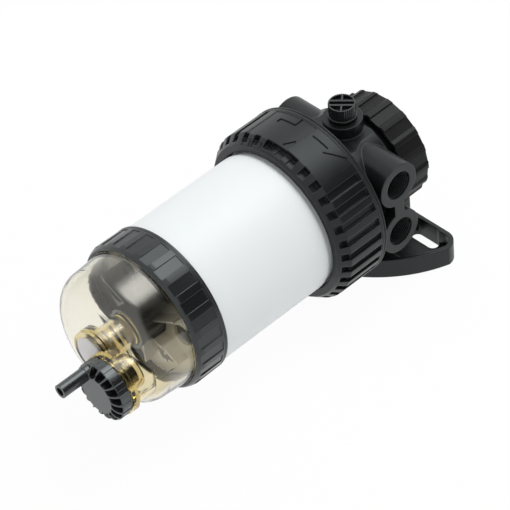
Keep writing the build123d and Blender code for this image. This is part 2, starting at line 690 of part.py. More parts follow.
# Bleed screw: a knurled cap with a coin slot across two ribbed recesses
BLEED_CAP_LOW = BLEED_FACE + BLEED_SEAL_THICK
with BuildPart() as bleed_screw:
    with BuildSketch(front_plane(BLEED_CAP_LOW)):
        with BuildLine():
            Polyline(*[spoke(BLEED_CAP_R - BLEED_KNURL_DEEP * (number % 2), number * 180 / BLEED_KNURLS)
                       for number in range(2 * BLEED_KNURLS)], close=True)
        make_face()
    extrude(amount=BLEED_CAP_TOP - BLEED_CAP_LOW)
    with BuildSketch(front_plane(BLEED_CAP_LOW)):
        Circle(BLEED_CAP_R + 0.5)
    extrude(amount=1.0)
    with BuildSketch(front_plane(BLEED_CAP_LOW)):
        Circle(BLEED_R)
    extrude(amount=-(BLEED_CAP_LOW - BLEED_BOTTOM - 0.5))
    with BuildSketch(front_plane(BLEED_CAP_TOP, BLEED_TURNED)):
        Circle(BLEED_CAP_R - BLEED_FACE_RIM)
        with Locations((0, BLEED_SLOT / 2 + BLEED_BAR / 2), (0, -BLEED_SLOT / 2 - BLEED_BAR / 2)):
            Rectangle(2 * BLEED_CAP_R, BLEED_BAR, mode=Mode.SUBTRACT)
        for side in (-1, 1):
            with Locations((0, side * (BLEED_SLOT / 2 + BLEED_BAR + BLEED_CAP_R / 2))):
                Rectangle(BLEED_RIB, BLEED_CAP_R, mode=Mode.SUBTRACT)
    extrude(amount=-BLEED_SLOT_DEEP, mode=Mode.SUBTRACT)
save(bleed_screw, "bleed_screw")

# Seal under the bleed screw's cap
with BuildPart() as bleed_seal:
    with BuildSketch(front_plane(BLEED_FACE)):
        Circle(BLEED_SEAL_R)
        Circle(BLEED_R + SHAFT_GAP, mode=Mode.SUBTRACT)
    extrude(amount=BLEED_SEAL_THICK)
save(bleed_seal, "bleed_seal")

# Cartridge can: a moulded shell with a flange above and a neck below
CAN_IN_R = CAN_R - CAN_WALL
CAN_LOW_IN_R = CAN_LOW_R - CAN_LOW_WALL
with BuildPart() as cartridge_can:
    with BuildSketch(SECTION):
        with BuildLine():
            Polyline((CAN_R, -SHOULDER), (CAN_R, CAN_LOW), (CAN_LOW_R, CAN_LOW), (CAN_LOW_R, CAN_END),
                     (CAN_LOW_IN_R + BASE_REBATE, CAN_END),
                     (CAN_LOW_IN_R + BASE_REBATE, CAN_END + BASE_REBATE),
                     (CAN_LOW_IN_R, CAN_END + BASE_REBATE), (CAN_LOW_IN_R, CAN_LOW - 1),
                     (CAN_IN_R, CAN_LOW + 2.5), (CAN_IN_R, -SHOULDER), (CAN_NECK_R - CAN_WALL - 1.5, 0),
                     (CAN_NECK_R - CAN_WALL - 1.5, PLATE_THICK - 1), (CAN_NECK_R - CAN_WALL, PLATE_THICK - 1),
                     (CAN_NECK_R - CAN_WALL, CAN_FLANGE_TOP), (CAN_FLANGE_R, CAN_FLANGE_TOP),
                     (CAN_FLANGE_R, UPPER_LEDGE), (CAN_NECK_R, UPPER_LEDGE), (CAN_NECK_R, 0))
            ThreePointArc((CAN_NECK_R, 0), (CAN_NECK_R + 1.05, -SHOULDER * 0.42), (CAN_R, -SHOULDER))
        make_face()
    revolve(axis=FILTER_AXIS)
    add(lugs(CAN_LOW_R - 0.5, LOWER_BORE_R - COLLAR_GAP, LOWER_LUG_Z - LOWER_LUG_TALL, LOWER_LUG_TALL))
save(cartridge_can, "cartridge_can")

# Seal between the can's flange and the head's skirt
cartridge_seal = ring(SKIRT_INNER_R + 0.3, SKIRT_R - 0.3, CAN_FLANGE_TOP, SKIRT_BOTTOM, 0.4)
save(cartridge_seal, "cartridge_seal")

# Top plate of the cartridge with inlet holes and the outlet nipple
PLATE_LOW = PLATE_THICK - 1
PLATE_R = CAN_NECK_R - CAN_WALL - LOOSE_GAP
HUB_R = TUBE_R - TUBE_WALL - LOOSE_GAP
with BuildPart() as cartridge_top_plate:
    with BuildSketch(SECTION):
        with BuildLine():
            Polyline((NIPPLE_R - NIPPLE_WALL, NIPPLE_TOP), (NIPPLE_R, NIPPLE_TOP),
                     (NIPPLE_R, PLATE_LOW + PLATE_THICK), (PLATE_R, PLATE_LOW + PLATE_THICK),
                     (PLATE_R, PLATE_LOW), (HUB_R, PLATE_LOW), (HUB_R, MEDIA_TOP - 6),
                     (HUB_R - 2, MEDIA_TOP - 6), (NIPPLE_R - NIPPLE_WALL, PLATE_LOW), close=True)
        make_face()
    revolve(axis=FILTER_AXIS)
    with BuildSketch(level(PLATE_LOW)):
        with PolarLocations(PLATE_HOLE_RING, PLATE_HOLES):
            Circle(PLATE_HOLE_R)
    extrude(amount=PLATE_THICK, mode=Mode.SUBTRACT)
save(cartridge_top_plate, "cartridge_top_plate")

# Nipple seal, pressed between the nipple's end and the head
nipple_seal = ring(OUTLET_R, NIPPLE_R, NIPPLE_TOP, HUB_FACE, 0.4)
save(nipple_seal, "nipple_seal")

# Pleated filter media: one closed sheet folded to and fro round the centre tube
fold = 180 / PLEATS
outer_edge = [spoke(MEDIA_R if number % 2 else MEDIA_IN_R + 2 * PAPER, number * fold)
              for number in range(2 * PLEATS)]
inner_edge = [spoke(MEDIA_R - 3 * PAPER if number % 2 else MEDIA_IN_R, number * fold)
              for number in range(2 * PLEATS)]
with BuildPart() as filter_media:
    with BuildSketch(level(MEDIA_BOTTOM)):
        with BuildLine():
            Polyline(*outer_edge, close=True)
        make_face()
        with BuildLine():
            Polyline(*inner_edge, close=True)
        make_face(mode=Mode.SUBTRACT)
    extrude(amount=MEDIA_TOP - MEDIA_BOTTOM)
save(filter_media, "filter_media")

# End caps that hold the media round the centre tube
media_top_cap = ring(TUBE_R + LOOSE_GAP, CAP_R, MEDIA_TOP, MEDIA_TOP + CAP_THICK)
save(media_top_cap, "media_top_cap")
media_bottom_cap = turned((0, MEDIA_BOTTOM - CAP_THICK), (CAP_R, MEDIA_BOTTOM - CAP_THICK),
                          (CAP_R, MEDIA_BOTTOM), (0, MEDIA_BOTTOM))
save(media_bottom_cap, "media_bottom_cap")

# Slotted centre tube
with BuildPart() as centre_tube:
    with BuildSketch(level(MEDIA_BOTTOM)):
        Circle(TUBE_R)
        Circle(TUBE_R - TUBE_WALL, mode=Mode.SUBTRACT)
    extrude(amount=PLATE_LOW - MEDIA_BOTTOM)
    row_pitch = (MEDIA_TOP - MEDIA_BOTTOM) / TUBE_SLOT_ROWS
    for row in range(TUBE_SLOT_ROWS):
        with BuildSketch(level(MEDIA_BOTTOM + row_pitch * (row + 0.5) - TUBE_SLOT_TALL / 2)):
            with PolarLocations(TUBE_R, TUBE_SLOTS):
                Rectangle(4 * TUBE_WALL, TUBE_SLOT_WIDE)
        extrude(amount=TUBE_SLOT_TALL, mode=Mode.SUBTRACT)
save(centre_tube, "centre_tube")

# Cartridge base: a holed disc with ribs and the tube that leads down into the bowl
BASE_R = CAN_LOW_IN_R + BASE_REBATE - LOOSE_GAP
with BuildPart() as cartridge_base:
    with BuildSketch(SECTION):
        with BuildLine():
            Polyline((WATER_TUBE_R - WATER_TUBE_WALL, WATER_TUBE_LOW), (WATER_TUBE_R, WATER_TUBE_LOW),
                     (WATER_TUBE_R, CAN_END), (BASE_R, CAN_END), (BASE_R, CAN_END + BASE_STEP),
                     (CAN_LOW_IN_R - LOOSE_GAP, CAN_END + BASE_STEP),
                     (CAN_LOW_IN_R - LOOSE_GAP, CAN_END + BASE_THICK), (WATER_TUBE_R, CAN_END + BASE_THICK),
                     (WATER_TUBE_R, MEDIA_BOTTOM - CAP_THICK),
                     (WATER_TUBE_R - WATER_TUBE_WALL, MEDIA_BOTTOM - CAP_THICK), close=True)
        make_face()
    revolve(axis=FILTER_AXIS)
    with BuildSketch(level(CAN_END)):
        with PolarLocations(BASE_HOLE_RING, BASE_HOLES):
            Circle(BASE_HOLE_R)
    extrude(amount=BASE_THICK, mode=Mode.SUBTRACT)
    with BuildSketch(level(CAN_END)):
        with PolarLocations((WATER_TUBE_R + BASE_HOLE_RING + BASE_HOLE_R) / 2, BASE_HOLES,
                            start_angle=180 / BASE_HOLES):
            Rectangle(BASE_HOLE_RING + BASE_HOLE_R - WATER_TUBE_R + 1, BASE_RIB)
    extrude(amount=-BASE_RIB_TALL)
save(cartridge_base, "cartridge_base")

# Lower lock collar: a ring with flat pockets and a ledge under the bowl's flange
with BuildPart() as lower_collar:
    with BuildSketch(SECTION):
        with BuildLine():
            Polyline((LOWER_LIP_R, LOWER_BOTTOM), (LOWER_R - 2.2, LOWER_BOTTOM),
                     (LOWER_R - 1.3, LOWER_BOTTOM + 1.4), (LOWER_R - 0.5, LOWER_BOTTOM + 3.2),
                     (LOWER_R, LOWER_BOTTOM + 5.5), (LOWER_R - LOWER_DRAFT, POCKET_TOP + 0.7),
                     (LOWER_R - 2 * LOWER_DRAFT, POCKET_TOP + 1.2),
                     (LOWER_R - 2 * LOWER_DRAFT, LOWER_TOP - 2.0), (LOWER_R - 0.2, LOWER_TOP - 1.6),
                     (LOWER_R - 0.2, LOWER_TOP - 0.4), (LOWER_R - 0.6, LOWER_TOP),
                     (CAN_R + COLLAR_GAP, LOWER_TOP), (CAN_R + COLLAR_GAP, CAN_LOW - COLLAR_GAP),
                     (LOWER_BORE_R, CAN_LOW - COLLAR_GAP), (LOWER_BORE_R, LOWER_BOTTOM + LOWER_LEDGE),
                     (LOWER_LIP_R, LOWER_BOTTOM + LOWER_LEDGE), close=True)
        make_face()
    revolve(axis=FILTER_AXIS)
    with BuildSketch(level(POCKET_LOW_END)):
        with PolarLocations(LOWER_R, POCKETS, POCKET_FIRST):
            Rectangle(2 * POCKET_DEEP, POCKET_WIDE)
    extrude(amount=POCKET_TOP - POCKET_LOW_END, mode=Mode.SUBTRACT)
    add(lugs(CAN_LOW_R + COLLAR_GAP, LOWER_BORE_R + 0.5, LOWER_LUG_Z, LOWER_LUG_TALL))
save(lower_collar, "lower_collar")

BOWL_TOP = LOWER_BOTTOM + LOWER_LEDGE


def bowl_side(inset, top):
    """Half outline of the bowl from a top height down to the axis, moved inwards by an inset."""
    side = Line((BOWL_TOP_R - inset, top), (BOWL_KNEE_R - inset, BOWL_KNEE))
    lean = 90 - abs((side % 1).get_angle(Vector(1, 0, 0)) - 90) - 90
    turn = 90 - abs(lean) - BOWL_BASE_SLOPE
    corner = JernArc(side @ 1, side % 1, BOWL_CORNER_R - inset, -turn)
    middle = (corner @ 1).Y - (corner @ 1).X * tan(radians(BOWL_BASE_SLOPE / 2))
    TangentArc(corner @ 1, (0, middle), tangent=corner % 1)
    return middle


# Clear bowl with the sensor boss in the middle and the drain boss beside it
BOWL_RIM = BOWL_TOP + BOWL_FLANGE
with BuildPart() as bowl:
    with BuildSketch(SECTION):
        with BuildLine():
            bottom = bowl_side(0, BOWL_BEAD_LOW)
            Polyline((0, bottom), (0, BOWL_RIM), (BOWL_FLANGE_R, BOWL_RIM), (BOWL_FLANGE_R, BOWL_TOP),
                     (BOWL_BEAD_R, BOWL_TOP), (BOWL_BEAD_R, BOWL_BEAD_LOW), (BOWL_TOP_R, BOWL_BEAD_LOW))
        make_face()
    revolve(axis=FILTER_AXIS)
    # Drain boss with its flange
    with BuildSketch(level(DRAIN_FACE, DRAIN_X, DRAIN_Y)):
        Circle(DRAIN_FLANGE_R)
    extrude(amount=DRAIN_FLANGE)
    with BuildSketch(level(DRAIN_FACE, DRAIN_X, DRAIN_Y)):
        Circle(DRAIN_BOSS_R)
    extrude(amount=DRAIN_BOSS_TOP - DRAIN_FACE)
    # Ring round the sensor port
    with BuildSketch(level(SENSOR_BOSS_FACE)):
        Circle(SENSOR_BOSS_R)
    extrude(amount=SENSOR_BOSS_TOP - SENSOR_BOSS_FACE)
    # Inside of the bowl and of the drain boss
    with BuildSketch(SECTION):
        with BuildLine():
            inside = bowl_side(BOWL_WALL, BOWL_RIM)
            Polyline((0, inside), (0, BOWL_RIM), (BOWL_TOP_R - BOWL_WALL, BOWL_RIM))
        make_face()
    revolve(axis=FILTER_AXIS, mode=Mode.SUBTRACT)
    with BuildSketch(level(DRAIN_BOSS_FLOOR, DRAIN_X, DRAIN_Y)):
        Circle(DRAIN_BOSS_IN_R)
    extrude(amount=DRAIN_BOSS_TOP - DRAIN_BOSS_FLOOR, mode=Mode.SUBTRACT)
    # Tube of the drain and pocket of the sensor port
    with BuildSketch(level(DRAIN_BOSS_FLOOR - 1.0, DRAIN_X, DRAIN_Y)):
        Circle(DRAIN_TUBE_R)
    extrude(amount=DRAIN_TUBE_TOP - DRAIN_BOSS_FLOOR + 1.0)
    with BuildSketch(level(SENSOR_BOSS_FACE)):
        Circle(SENSOR_BOSS_R)
    extrude(amount=SENSOR_BOSS_TOP - SENSOR_BOSS_FACE)
    with BuildSketch(level(SENSOR_BOSS_TOP - 1.0)):
        Circle(POCKET_R)
    extrude(amount=POCKET_END - SENSOR_BOSS_TOP + 1.0)
    with BuildSketch(level(SENSOR_FACE)):
        Circle(PLUG_R + LOOSE_GAP)
    extrude(amount=PLUG_HEAD, mode=Mode.SUBTRACT)
    with BuildSketch(level(SENSOR_FACE)):
        Circle(PLUG_SHANK_R + LOOSE_GAP)
    extrude(amount=POCKET_END - POCKET_WALL - SENSOR_FACE, mode=Mode.SUBTRACT)
    with BuildSketch(level(DRAIN_FACE, DRAIN_X, DRAIN_Y)):
        Circle(DRAIN_SPIGOT_R + SHAFT_GAP)
    extrude(amount=DRAIN_TUBE_TOP - DRAIN_FACE, mode=Mode.SUBTRACT)
save(bowl, "bowl")

# Face seal between the bowl's rim and the can
bowl_seal = ring(CAN_LOW_IN_R + 0.6, LOWER_BORE_R - 0.6, CAN_END - BOWL_SEAL, CAN_END)
save(bowl_seal, "bowl_seal")

# Plug that closes the sensor port, and its seal
SENSOR_SEAT = SENSOR_FACE + PLUG_HEAD - PLUG_SEAL
sensor_plug = turned((0, SENSOR_FACE), (PLUG_R - 0.5, SENSOR_FACE), (PLUG_R, SENSOR_FACE + 0.5),
                     (PLUG_R, SENSOR_SEAT), (PLUG_SHANK_R, SENSOR_SEAT),
                     (PLUG_SHANK_R, SENSOR_SEAT + PLUG_SHANK), (0, SENSOR_SEAT + PLUG_SHANK))
save(sensor_plug, "sensor_plug")
sensor_plug_seal = ring(PLUG_SHANK_R + 0.02, PLUG_R, SENSOR_SEAT, SENSOR_SEAT + PLUG_SEAL, 0.3)
save(sensor_plug_seal, "sensor_plug_seal")

# Drain knob: a toothed, tapered knob with its hose nozzle and the spigot in the bowl
DRAIN_AXIS = Axis((DRAIN_X, DRAIN_Y - AXIS_OUT, 0), (0, 0, 1))
DRAIN_SECTION = Plane((DRAIN_X, DRAIN_Y - AXIS_OUT, -LIP_BELOW_SLOTS), x_dir=(1, 0, 0), z_dir=(0, -1, 0))
SEAL_IN_R = DRAIN_SPIGOT_R - DRAIN_SEAL_SQUARE


def scoop(number, tip_radius):
    """Outline of the gap between two fins of the drain knob, out to a radius."""
    pitch = 360 / DRAIN_TEETH
    root = DRAIN_FIN_ROOT + number * pitch
    tip = DRAIN_FIN_TIP + number * pitch
    Polyline(spoke(DRAIN_SCOOP_IN_R, root + DRAIN_FIN_HALF), spoke(tip_radius, tip + DRAIN_FIN_HALF),
             spoke(tip_radius, tip + pitch - DRAIN_FIN_HALF),
             spoke(DRAIN_SCOOP_IN_R, root + pitch - DRAIN_FIN_HALF), close=True)


with BuildPart() as drain_knob:
    with BuildSketch(DRAIN_SECTION):
        with BuildLine():
            SagittaArc((DRAIN_FACE_R, DRAIN_KNOB_FACE), (DRAIN_KNOB_R, DRAIN_SIDE_LOW), -DRAIN_ROUND)
            Polyline((DRAIN_KNOB_R, DRAIN_SIDE_LOW), (DRAIN_KNOB_R, DRAIN_FACE - KNOB_CLEAR),
                     (DRAIN_SPIGOT_R, DRAIN_FACE - KNOB_CLEAR), (DRAIN_SPIGOT_R, DRAIN_SEAL_Z),
                     (SEAL_IN_R, DRAIN_SEAL_Z), (SEAL_IN_R, DRAIN_SEAL_Z + DRAIN_SEAL_SQUARE),
                     (DRAIN_SPIGOT_R, DRAIN_SEAL_Z + DRAIN_SEAL_SQUARE),
                     (DRAIN_SPIGOT_R, DRAIN_SPIGOT_TOP - 0.8), (DRAIN_SPIGOT_R - 0.8, DRAIN_SPIGOT_TOP),
                     (0, DRAIN_SPIGOT_TOP), (0, DRAIN_KNOB_FACE), (DRAIN_FACE_R, DRAIN_KNOB_FACE))
        make_face()
    revolve(axis=DRAIN_AXIS)
    # Slanted scoops between fins, open outwards below the side and sunk behind it above
    for radius, top in ((DRAIN_RING_IN_R, DRAIN_SIDE_LOW + DRAIN_SCOOP_DEEP),
                        (DRAIN_KNOB_R + 1.0, DRAIN_SIDE_LOW)):
        with BuildSketch(level(DRAIN_KNOB_FACE - 1.0, DRAIN_X, DRAIN_Y)):
            for number in range(DRAIN_TEETH):
                with BuildLine():
                    scoop(number, radius)
                make_face()
        extrude(amount=top - DRAIN_KNOB_FACE + 1.0, mode=Mode.SUBTRACT)
    # Shallow flats up the side
    with BuildSketch(level(DRAIN_SIDE_LOW - 1.0, DRAIN_X, DRAIN_Y)):
        with PolarLocations(DRAIN_KNOB_R, DRAIN_TEETH, DRAIN_FLAT_AT):
            Rectangle(2 * DRAIN_FLAT_DEEP, DRAIN_FLAT_WIDE)
    extrude(amount=DRAIN_FACE - DRAIN_SIDE_LOW + 1.0, mode=Mode.SUBTRACT)
    # Hose nozzle near the knob's edge, with the step that stops the hose, and its bore
    hose_root = DRAIN_KNOB_FACE - ROOT_PROUD
    with BuildSketch(level(hose_root, DRAIN_X + HOSE_DX, DRAIN_Y + HOSE_DY)):
        Circle(HOSE_R + HOSE_STEP)
    extrude(amount=DRAIN_SIDE_LOW + DRAIN_SCOOP_DEEP + ROOT_SUNK - hose_root)
    with BuildSketch(level(HOSE_TIP, DRAIN_X + HOSE_DX, DRAIN_Y + HOSE_DY)):
        Circle(HOSE_R)
    extrude(amount=hose_root - HOSE_TIP)
    with BuildSketch(level(HOSE_TIP, DRAIN_X + HOSE_DX, DRAIN_Y + HOSE_DY)):
        Circle(DRAIN_BORE_R)
    extrude(amount=NOZZLE_ROOF - HOSE_TIP, mode=Mode.SUBTRACT)
    # Water way from the spigot across to the nozzle
    with BuildSketch(level(DRAIN_SPIGOT_TOP, DRAIN_X, DRAIN_Y)):
        Circle(DRAIN_BORE_R)
    extrude(amount=WATER_WAY_LOW - DRAIN_SPIGOT_TOP, mode=Mode.SUBTRACT)
    nozzle = level(WATER_WAY_Z, DRAIN_X + HOSE_DX, DRAIN_Y + HOSE_DY).origin
    with BuildSketch(Plane(nozzle, z_dir=(-HOSE_DX, -HOSE_DY, 0))):
        Circle(WATER_WAY_R)
    extrude(amount=(HOSE_DX ** 2 + HOSE_DY ** 2) ** 0.5, mode=Mode.SUBTRACT)
save(drain_knob, "drain_knob")

# Drain seal in the spigot's groove
with BuildPart() as drain_seal:
    with BuildSketch(level(DRAIN_SEAL_Z, DRAIN_X, DRAIN_Y)):
        Circle(DRAIN_SPIGOT_R)
        Circle(SEAL_IN_R + SHAFT_GAP, mode=Mode.SUBTRACT)
    extrude(amount=DRAIN_SEAL_SQUARE)
save(drain_seal, "drain_seal")
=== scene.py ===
# %% [markdown]
# Fuel water separator, dressed for its picture.
# The CAD model gives every solid. This lesson adds the camera, the light, the finishes
# and the small details that only the eye needs, such as port threads and raised marks.

from math import cos, pi, radians, sin

import bpy
from mathutils import Matrix, Vector


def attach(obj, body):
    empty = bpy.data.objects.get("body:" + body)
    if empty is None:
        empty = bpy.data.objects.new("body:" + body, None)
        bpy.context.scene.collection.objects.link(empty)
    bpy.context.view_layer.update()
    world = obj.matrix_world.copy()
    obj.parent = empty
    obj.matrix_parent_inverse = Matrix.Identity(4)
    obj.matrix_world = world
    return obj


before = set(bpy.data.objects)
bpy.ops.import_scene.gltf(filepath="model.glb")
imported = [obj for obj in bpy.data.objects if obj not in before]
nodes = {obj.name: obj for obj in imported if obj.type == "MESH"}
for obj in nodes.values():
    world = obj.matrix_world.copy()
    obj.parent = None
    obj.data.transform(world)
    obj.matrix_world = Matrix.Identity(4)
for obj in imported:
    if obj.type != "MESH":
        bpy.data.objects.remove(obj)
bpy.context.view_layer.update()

# %% [markdown]
# The filter's axis stands along Z, 70 mm in front of the wall plane y = 0.
# Levels are counted in millimetres up from the lower lip of the upper collar, as on the drawing,
# so one helper turns a level into the frame's metres.

# %% Levels and places
AXIS_Y = -0.070
LIP_Z = -0.105


def level(height_mm):
    """Frame height in metres of a level above the upper collar's lip."""
    return LIP_Z + height_mm / 1000


print("collar lip at", level(0))

# %% [markdown]
# The photograph was taken with a long lens from below right, with the separator lying on its back.
# A place, a point on the view axis and a small roll set the camera. A long lens keeps the can's
# sides nearly parallel, as they are in the picture.

# %% Camera
CAMERA_AT = Vector((1.05398, -1.35956, -1.01773))
CAMERA_AIM = Vector((0.00878, -0.06408, -0.13329))
CAMERA_ROLL = 5.957
LENS = 193.942
SENSOR = 36
NEAREST, FARTHEST = 0.05, 20

look = (CAMERA_AIM - CAMERA_AT).normalized()
side = look.cross(Vector((0, -1, 0))).normalized()
lift = side.cross(look)
turn = radians(CAMERA_ROLL)
top = (lift * cos(turn) + side * sin(turn)).normalized()
right = look.cross(top).normalized()
camera = bpy.data.objects.new("camera", bpy.data.cameras.new("camera"))
camera.data.lens = LENS
camera.data.sensor_width = SENSOR
camera.data.clip_start = NEAREST
camera.data.clip_end = FARTHEST
camera.matrix_world = Matrix((
    (right.x, top.x, -look.x, CAMERA_AT.x),
    (right.y, top.y, -look.y, CAMERA_AT.y),
    (right.z, top.z, -look.z, CAMERA_AT.z),
    (0, 0, 0, 1)))
bpy.context.scene.collection.objects.link(camera)
bpy.context.scene.camera = camera
print("camera looks along", look)

# %% [markdown]
# The light, the floor and the finishes are all made of shader nodes. A few short helpers add the
# nodes that come back again and again, so that the later cells read like recipes. What a helper
# is given is either a plain value or the output of another node.

# %% Node helpers


def feed(tree, socket, value):
    """Link another node's output into a socket, or set the socket to a plain value."""
    if isinstance(value, bpy.types.NodeSocket):
        tree.links.new(value, socket)
    else:
        socket.default_value = value


def maths(tree, operation, first, second, clamp=False):
    """Result of one step of maths on two values."""
    node = tree.nodes.new("ShaderNodeMath")
    node.operation = operation
    node.use_clamp = clamp
    feed(tree, node.inputs[0], first)
    feed(tree, node.inputs[1], second)
    return node.outputs[0]


def vectors(tree, operation, first, second=(0, 0, 0)):
    """Result of one step of maths on vectors, a number where the step gives one."""
    node = tree.nodes.new("ShaderNodeVectorMath")
    node.operation = operation
    feed(tree, node.inputs[0], first)
    feed(tree, node.inputs[1], second)
    return node.outputs["Value" if operation in ("DOT_PRODUCT", "LENGTH") else "Vector"]


def ramp(tree, value, span, ends=(0, 1), smooth=False):
    """Value that runs from one end to the other while the given value crosses a span."""
    node = tree.nodes.new("ShaderNodeMapRange")
    node.interpolation_type = "SMOOTHSTEP" if smooth else "LINEAR"
    for label, number in zip(("From Min", "From Max", "To Min", "To Max"), (*span, *ends)):
        node.inputs[label].default_value = number
    tree.links.new(value, node.inputs["Value"])
    return node.outputs["Result"]


def backdrop_ray(tree):
    """Mask of the rays that show the backdrop: from the camera, through glass or off a gloss."""
    path = tree.nodes.new("ShaderNodeLightPath").outputs
    direct = maths(tree, "ADD", path["Is Camera Ray"], path["Is Transmission Ray"], clamp=True)
    return maths(tree, "ADD", direct, path["Is Glossy Ray"], clamp=True)


print("node helpers ready")

# %% [markdown]
# The backdrop is pure white. The world is white where the camera, the clear bowl or a gloss
# looks at it, and softer where it lights matt surfaces. Two parts of it are for the gloss only.
# One on the right is dark, as a black card beside the table would be, so that flank keeps its
# depth. One overhead is bright, and its soft mirror image is the glare on the bowl.

# %% World
WORLD_SEEN = 1.0
WORLD_LIGHT = 0.70
CARD_SIDE = Vector((0.83, -0.33, 0.44))
CARD_SPAN = (0.66, 0.88)
CARD_DARK = 0.92
GLARE_SIDE = Vector((-0.04, -0.90, 0.43))
GLARE_SPAN = (0.885, 0.998)
GLARE = 2.7

world = bpy.data.worlds.new("studio")
bpy.context.scene.world = world
world.use_nodes = True
sky = world.node_tree
sky.nodes.clear()
heading = sky.nodes.new("ShaderNodeTexCoord").outputs["Generated"]
gloss_ray = sky.nodes.new("ShaderNodeLightPath").outputs["Is Glossy Ray"]


def sky_patch(side, span, amount):
    """Soft round patch of the world's gloss towards a side, between two cosines of its angle."""
    cosine = vectors(sky, "DOT_PRODUCT", heading, side.normalized())
    return maths(sky, "MULTIPLY", ramp(sky, cosine, span, (0, amount), smooth=True), gloss_ray)


plain = ramp(sky, backdrop_ray(sky), (0, 1), (WORLD_LIGHT, WORLD_SEEN))
beside_card = maths(sky, "SUBTRACT", plain, sky_patch(CARD_SIDE, CARD_SPAN, CARD_DARK))
with_glare = maths(sky, "ADD", beside_card, sky_patch(GLARE_SIDE, GLARE_SPAN, GLARE))
background = sky.nodes.new("ShaderNodeBackground")
background.inputs["Color"].default_value = (1, 1, 1, 1)
sky.links.new(with_glare, background.inputs["Strength"])
world_out = sky.nodes.new("ShaderNodeOutputWorld")
sky.links.new(background.outputs[0], world_out.inputs["Surface"])
print("world seen", WORLD_SEEN, "and lighting", WORLD_LIGHT)

# %% [markdown]
# A square soft box hangs overhead and lights the matt colours. The world already shows it in the
# gloss, so the lamp itself isn't mirrored. It fades from its middle to its rim, as cloth over a
# lamp does.

# %% Soft box
MIDDLE = Vector((0, AXIS_Y, -0.14))
OVERHEAD = MIDDLE + Vector((0.04, -1.35, 0.65))
BOX_WIDE = 1.35
BOX_WATTS = 27
BOX_EVEN = 0.4

lamp = bpy.data.lights.new("overhead box", "AREA")
lamp.shape = "SQUARE"
lamp.size = BOX_WIDE
lamp.energy = BOX_WATTS
lamp.use_nodes = True
cloth = lamp.node_tree
cloth.nodes.clear()
on_box = cloth.nodes.new("ShaderNodeNewGeometry").outputs["Parametric"]
centred = vectors(cloth, "SUBTRACT", on_box, (0.5, 0.5, 0))
from_middle = vectors(cloth, "LENGTH", vectors(cloth, "MULTIPLY", centred, (2, 2, 0)))
glow = cloth.nodes.new("ShaderNodeEmission")
fade = ramp(cloth, from_middle, (BOX_EVEN, 1), (1, 0), smooth=True)
cloth.links.new(fade, glow.inputs["Strength"])
lamp_out = cloth.nodes.new("ShaderNodeOutputLight")
cloth.links.new(glow.outputs[0], lamp_out.inputs["Surface"])
box = bpy.data.objects.new("overhead box", lamp)
box.location = OVERHEAD
box.rotation_mode = "QUATERNION"
box.rotation_quaternion = (MIDDLE - OVERHEAD).to_track_quat("-Z", "Y")
box.visible_glossy = False
bpy.context.scene.collection.objects.link(box)
print("lamp faces", MIDDLE)

# %% [markdown]
# The separator lies on its mounting face, so the floor is the wall plane of the frame.
# From behind, the floor must not hide the object: its back is clear. The camera sees it
# almost white with a faint trace of the object's shadow, as in the picture.

# %% Floor
FLOOR_HALF = 2.5
FLOOR_GAP = 0.0004
FLOOR_SHADE = 0.04
PAPER_TONE = 0.9


def joined_shaders(tree, share, first, second):
    """Mix of two shaders, at a share of the second."""
    node = tree.nodes.new("ShaderNodeMixShader")
    tree.links.new(share, node.inputs["Fac"])
    tree.links.new(first.outputs[0], node.inputs[1])
    tree.links.new(second.outputs[0], node.inputs[2])
    return node


bpy.ops.object.select_all(action="DESELECT")
bpy.ops.mesh.primitive_plane_add(
    size=2 * FLOOR_HALF, location=(0, FLOOR_GAP, 0), rotation=(pi / 2, 0, 0))
floor = bpy.context.object
floor.name = "floor"
paper = bpy.data.materials.new("floor paper")
paper.use_nodes = True
tree = paper.node_tree
tree.nodes.clear()
matt = tree.nodes.new("ShaderNodeBsdfDiffuse")
matt.inputs["Color"].default_value = (PAPER_TONE, PAPER_TONE, PAPER_TONE, 1)
white = tree.nodes.new("ShaderNodeEmission")
clear = tree.nodes.new("ShaderNodeBsdfTransparent")
part_white = maths(tree, "MULTIPLY", backdrop_ray(tree), 1 - FLOOR_SHADE)
front = joined_shaders(tree, part_white, matt, white)
facing = tree.nodes.new("ShaderNodeNewGeometry")
both = joined_shaders(tree, facing.outputs["Backfacing"], front, clear)
out = tree.nodes.new("ShaderNodeOutputMaterial")
tree.links.new(both.outputs[0], out.inputs["Surface"])
floor.data.materials.append(paper)
print("floor normal", floor.matrix_world.to_3x3() @ Vector((0, 0, 1)))

# %% [markdown]
# Every moulded piece has the same small effects: a fine grain from the tool's surface, broad
# patches of handling film, and edges that are slightly rounded, with a mask along them for wear and
# a painted highlight. Two finishes also change with the distance from an upright axis. Each effect
# is one node group, so that every finish uses it with its own amounts.

# %% Node groups
FLOAT, VECTOR = "NodeSocketFloat", "NodeSocketVector"
PATCH_SCALE = 26
EDGE_SPAN = (0.995, 0.86)


def new_group(name, inputs, outputs):
    """Empty shader group with named inputs (name, value) and outputs (name, type)."""
    group = bpy.data.node_groups.new(name, "ShaderNodeTree")
    for label, value in inputs:
        socket = group.interface.new_socket(name=label, in_out="INPUT", socket_type=FLOAT)
        socket.default_value = value
    for label, kind in outputs:
        group.interface.new_socket(name=label, in_out="OUTPUT", socket_type=kind)
    return group, group.nodes.new("NodeGroupInput"), group.nodes.new("NodeGroupOutput")


def on_piece(tree):
    """Place on the piece, in its own coordinates."""
    return tree.nodes.new("ShaderNodeTexCoord").outputs["Object"]


